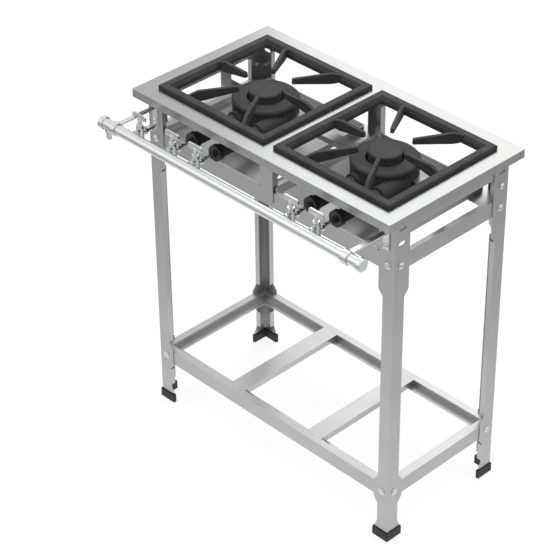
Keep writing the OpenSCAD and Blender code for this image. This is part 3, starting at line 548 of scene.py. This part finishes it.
class RANGE_OT_grate_lips(bpy.types.Operator):
    """Adds the lip inside each grate's frame that hangs behind the plate's edge"""

    bl_idname = "stock_range.grate_lips"
    bl_label = "Grate lips"

    def execute(self, context):
        lips = context.scene.range_lips
        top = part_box("top_plate")[1].z
        outer, inner = lips.reach_in, lips.reach_in + lips.thick
        foot = top - lips.hang
        over = top + lips.edge
        # The lip's section, as distances from the grate's side and heights
        section = [(lips.root, top + lips.rise), (inner, over), (inner, foot + lips.edge),
                   (inner - lips.edge, foot), (outer, foot), (outer, over), (lips.root, over)]
        for side in ("left", "right"):
            low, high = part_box("grate_" + side)
            middle = Vector(((low.x + high.x) / 2, (low.y + high.y) / 2, 0))
            half = (high.x - low.x) / 2
            work = bmesh.new()
            rings = []
            for inset, z in section:
                radius = lips.corner + outer - inset
                rings.append([work.verts.new(middle + point + Vector((0, 0, z)))
                              for point in rounded_square(half - inset, radius)])
            for here, there in zip(rings, rings[1:] + rings[:1]):
                for i in range(len(here)):
                    j = (i + 1) % len(here)
                    work.faces.new((here[i], here[j], there[j], there[i]))
            name = "grate_lip_" + side
            mesh = finished_mesh(work, name)
            mesh.shade_flat()
            add_piece(name, mesh, bpy.data.materials["sand_cast_iron"], side + "_grate")
        return {"FINISHED"}


class RANGE_OT_gas_line(bpy.types.Operator):
    """Finishes the gas pipe, its caps and inlet, the cocks and their handles"""

    bl_idname = "stock_range.gas_line"
    bl_label = "Gas line"

    def execute(self, context):
        finishes = context.scene.range_finishes
        dress(named("gas_pipe", "pipe_caps", "pipe_bracket"), satin_steel_tube(finishes))
        dress(named("gas_cock", "gas_inlet", "cock_handle"), chrome_plated_brass(finishes))
        dress(named("bolts"), zinc_plated_steel(finishes))
        return {"FINISHED"}


class RANGE_OT_black_parts(bpy.types.Operator):
    """Finishes the air shutters and the feet"""

    bl_idname = "stock_range.black_parts"
    bl_label = "Shutters and feet"

    def execute(self, context):
        finishes = context.scene.range_finishes
        dress(named("air_shutter"), stoved_black_enamel(finishes))
        dress(named("feet"), moulded_rubber(finishes))
        return {"FINISHED"}


class RANGE_OT_seams(bpy.types.Operator):
    """Adds the weld beads on the mitres of the lower rails and the shelf frame"""

    bl_idname = "stock_range.seams"
    bl_label = "Weld seams"

    def execute(self, context):
        seams = context.scene.range_seams
        up = Vector((0, 0, 1))
        metal = brushed_stainless_sheet(context.scene.range_finishes, 2)
        metal.name = "ground_weld_metal"
        frames = {"lower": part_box("lower_rail_front"), "shelf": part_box("shelf_rail_front")}
        flat_low, flat_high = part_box("lower_rail_left")
        reach = {"lower": flat_high.x - flat_low.x - seams.rail_stop, "shelf": seams.shelf_end}
        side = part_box("lower_rail_rear")[1].y
        for name, (low, high) in frames.items():
            work = bmesh.new()
            for sx in (-1, 1):
                for sy in (-1, 1):
                    outer = Vector((sx * high.x, low.y if sy < 0 else side, high.z))
                    inward = Vector((-sx, -sy, 0))
                    # A bead starts behind the leg or post, which stands over the corner
                    bead(work, outer + inward * seams.bead_start, outer + inward * reach[name], up, seams)
            add_piece(name + "_weld_beads", finished_mesh(work, name + "_weld_beads"), metal,
                      STAND)
        return {"FINISHED"}


class RANGE_OT_washers(bpy.types.Operator):
    """Adds a washer under the head of each leg and shelf bolt"""

    bl_idname = "stock_range.washers"
    bl_label = "Washers"

    def execute(self, context):
        seams = context.scene.range_seams
        outer, hole = seams.washer, seams.washer_hole
        thick, edge = seams.washer_thick, seams.washer_edge
        outline = [(hole, 0), (outer, 0), (outer, thick - edge), (outer - edge, thick), (hole, thick)]
        head_mid = (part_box(LEGS[0])[1].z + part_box("lower_rail_front")[0].z) / 2
        shelf_low, shelf_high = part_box("shelf_rail_front")
        work = bmesh.new()
        for _, sx, sy, corner in corners():
            for z in (head_mid, (shelf_low.z + shelf_high.z) / 2):
                on_front = Matrix.Translation(corner + Vector((-sx * seams.bolt_in, 0, z)))
                on_side = Matrix.Translation(corner + Vector((0, -sy * seams.bolt_in, z)))
                turned(work, outline, on_front @ Matrix.Rotation(-sy * pi / 2, 4, "X"))
                turned(work, outline, on_side @ Matrix.Rotation(sx * pi / 2, 4, "Y"))
        zinc = zinc_plated_steel(context.scene.range_finishes)
        zinc.name = "zinc_plated_washers"
        add_piece("washers", finished_mesh(work, "washers"), zinc, STAND)
        return {"FINISHED"}


def lamp(name, watts, width, place, target):
    """A soft square lamp at place that faces target."""
    data = bpy.data.lights.new(name, "AREA")
    data.energy = watts
    data.size = width
    lamp_object = bpy.data.objects.new(name, data)
    lamp_object.location = place
    lamp_object.rotation_euler = (target - Vector(place)).to_track_quat("-Z", "Y").to_euler()
    bpy.context.scene.collection.objects.link(lamp_object)


def either(tree, path, one, other):
    """1 where a ray is of one kind or the other, such as Is Glossy Ray."""
    return add_node(tree, "ShaderNodeMath", {0: (path, one), 1: (path, other)}, operation="MAXIMUM")


def white_paper(studio):
    """The floor: white paper under a pool of light. The camera sees it as plain white with the
    range's shadow on it, metal mirrors the pool, and all other rays meet pale matt paper."""
    material, tree, shader = new_material("white_paper", Base_Color=linear(studio.paper), Roughness=0.9)
    out = next(node for node in tree.nodes if node.type == "OUTPUT_MATERIAL")
    path = add_node(tree, "ShaderNodeLightPath")
    place = add_node(tree, "ShaderNodeTexCoord")
    reach = add_node(tree, "ShaderNodeVectorMath", {0: (place, "Object")}, operation="LENGTH")
    pool = add_node(tree, "ShaderNodeMapRange", {"Value": (reach, "Value")},
                    {"From Max": studio.pool, "To Min": studio.pool_light, "To Max": studio.pool_edge})
    mirrored = add_node(tree, "ShaderNodeEmission", {"Strength": (pool, "Result")})
    glow = add_node(tree, "ShaderNodeEmission", inputs={"Strength": studio.glow})
    lit = add_node(tree, "ShaderNodeAddShader", {0: (shader, "BSDF"), 1: (glow, "Emission")})
    seen = add_node(tree, "ShaderNodeMixShader",
                    {0: (path, "Is Camera Ray"), 1: (shader, "BSDF"), 2: (lit, "Shader")})
    mirror = either(tree, path, "Is Glossy Ray", "Is Transmission Ray")
    mix = add_node(tree, "ShaderNodeMixShader",
                   {0: (mirror, "Value"), 1: (seen, "Shader"), 2: (mirrored, "Emission")})
    tree.links.new(mix.outputs["Shader"], out.inputs["Surface"])
    return material


def white_room(studio):
    """The world: white to the camera and in metal, and for all other rays a soft light that is
    stronger from above than from the sides."""
    world = bpy.data.worlds.new("white_room")
    world.use_nodes = True
    tree = world.node_tree
    tree.nodes.clear()
    path = add_node(tree, "ShaderNodeLightPath")
    place = add_node(tree, "ShaderNodeTexCoord")
    split = add_node(tree, "ShaderNodeSeparateXYZ", {"Vector": (place, "Generated")})
    height = add_node(tree, "ShaderNodeMapRange", {"Value": (split, "Z")},
                      {"To Min": studio.sides, "To Max": studio.daylight})
    soft = add_node(tree, "ShaderNodeBackground", {"Strength": (height, "Result")}, {"Color": (1, 1, 1, 1)})
    white = add_node(tree, "ShaderNodeBackground", inputs={"Color": (1, 1, 1, 1), "Strength": 1.0})
    mirror = either(tree, path, "Is Glossy Ray", "Is Transmission Ray")
    seen = add_node(tree, "ShaderNodeMath", {0: (path, "Is Camera Ray"), 1: (mirror, "Value")},
                    operation="MAXIMUM")
    mix = add_node(tree, "ShaderNodeMixShader",
                   {0: (seen, "Value"), 1: (soft, "Background"), 2: (white, "Background")})
    add_node(tree, "ShaderNodeOutputWorld", {"Surface": (mix, "Shader")})
    return world


def add_floor(studio):
    """A wide floor under the range, which isn't part of it."""
    work = bmesh.new()
    bmesh.ops.create_grid(work, x_segments=8, y_segments=8, size=studio.floor)
    mesh = bpy.data.meshes.new("floor")
    work.to_mesh(mesh)
    work.free()
    mesh.materials.append(white_paper(studio))
    floor = bpy.data.objects.new("floor", mesh)
    bpy.context.scene.collection.objects.link(floor)


def add_camera(studio):
    """The camera, at its distance from the point that it looks at."""
    data = bpy.data.cameras.new("camera")
    data.lens = studio.lens
    data.sensor_width = 36
    data.clip_end = 50
    data.shift_x = studio.shift_x
    data.shift_y = studio.shift_y
    camera = bpy.data.objects.new("camera", data)
    bpy.context.scene.collection.objects.link(camera)
    level = Vector((sin(studio.turn), -cos(studio.turn), 0))
    back = level * cos(studio.tilt) + Vector((0, 0, sin(studio.tilt)))
    camera.location = Vector(studio.aim) + back * studio.distance
    camera.rotation_euler = back.to_track_quat("Z", "Y").to_euler()
    return camera


class RANGE_OT_studio(bpy.types.Operator):
    """Adds the pale floor, the soft light and the camera"""

    bl_idname = "stock_range.studio"
    bl_label = "Studio"

    def execute(self, context):
        scene = context.scene
        studio = scene.range_studio
        add_floor(studio)
        scene.world = white_room(studio)
        for settings in LAMPS:
            lamp(*settings)
        scene.camera = add_camera(studio)
        scene.view_settings.view_transform = "Standard"
        return {"FINISHED"}


OPERATORS = [
    RANGE_OT_sheet,
    RANGE_OT_plate,
    RANGE_OT_castings,
    RANGE_OT_grate_lips,
    RANGE_OT_gas_line,
    RANGE_OT_black_parts,
    RANGE_OT_seams,
    RANGE_OT_washers,
    RANGE_OT_studio,
]


class RANGE_PT_sidebar(bpy.types.Panel):
    """Lists the steps that dress the range"""

    bl_idname = "RANGE_PT_sidebar"
    bl_label = "Stock pot range"
    bl_space_type = "VIEW_3D"
    bl_region_type = "UI"
    bl_category = "Range"

    def draw(self, context):
        for group in SETTINGS:
            settings = getattr(context.scene, group)
            box = self.layout.box()
            for key in settings.__annotations__:
                box.prop(settings, key)
        for operator in OPERATORS:
            self.layout.operator(operator.bl_idname)


SETTINGS = {"range_finishes": RangeFinishes, "range_seams": RangeSeams, "range_lips": RangeLips,
            "range_studio": RangeStudio}
CLASSES = [*SETTINGS.values(), *OPERATORS, RANGE_PT_sidebar]


def register():
    for item in CLASSES:
        bpy.utils.register_class(item)
    for key, group in SETTINGS.items():
        setattr(bpy.types.Scene, key, PointerProperty(type=group))


def unregister():
    for key in SETTINGS:
        delattr(bpy.types.Scene, key)
    for item in reversed(CLASSES):
        bpy.utils.unregister_class(item)


def main():
    register()
    for operator in OPERATORS:
        space, step = operator.bl_idname.split(".")
        getattr(getattr(bpy.ops, space), step)()


if __name__ == "__main__":
    main()
